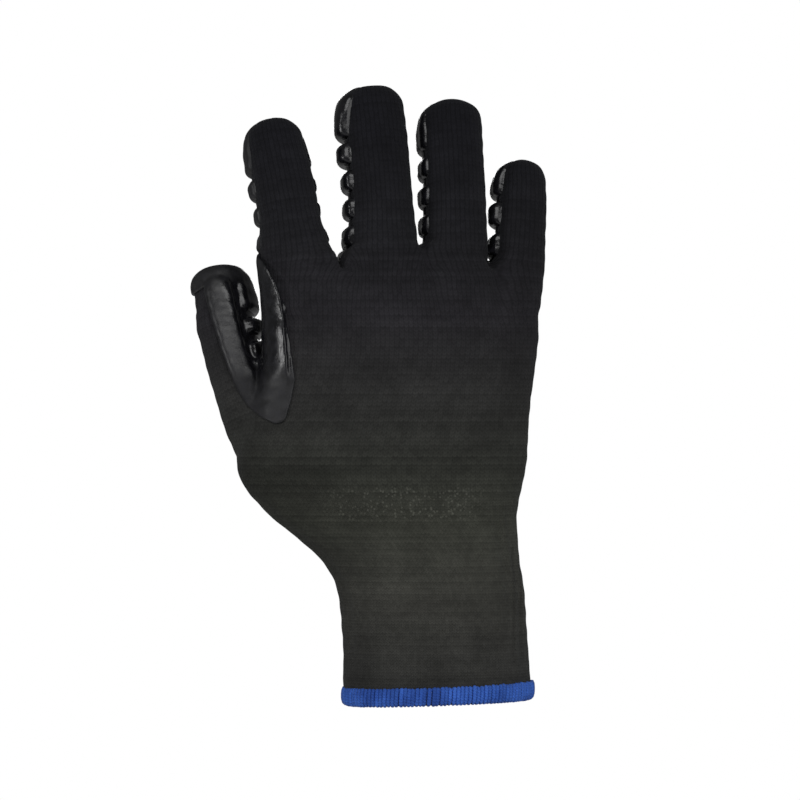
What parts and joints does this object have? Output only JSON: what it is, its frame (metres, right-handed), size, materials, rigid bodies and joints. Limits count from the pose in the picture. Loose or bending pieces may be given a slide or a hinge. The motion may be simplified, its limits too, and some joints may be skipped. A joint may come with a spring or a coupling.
{
  "type": "anti vibration glove",
  "caption": "Knitted work glove for a right hand with raised rubber blocks over the palm and fingers, a ribbed cuff and an overlocked hem.",
  "frame": {"origin": "centre of the cuff's mouth, where a wrist enters", "axes": "+Z from the cuff to the fingertips, +X to the little finger, +Y to the palm, -Y to the back of the hand"},
  "size_m": [0.1443, 0.0691, 0.2497],
  "materials": {
    "knit": "matte",
    "moulded_rubber": "satin",
    "hem_thread": "matte"
  },
  "bodies": {
    "root": {"overlock_hem": "hem_thread", "knit_cuff": "knit", "knit_hand": "knit", "knit_index": "knit", "knit_middle": "knit", "knit_ring": "knit", "knit_little": "knit", "knit_thumb": "knit", "rubber_palm": "moulded_rubber", "rubber_index": "moulded_rubber", "rubber_middle": "moulded_rubber", "rubber_ring": "moulded_rubber", "rubber_little": "moulded_rubber", "rubber_thumb": "moulded_rubber"}
  },
  "joints": []
}
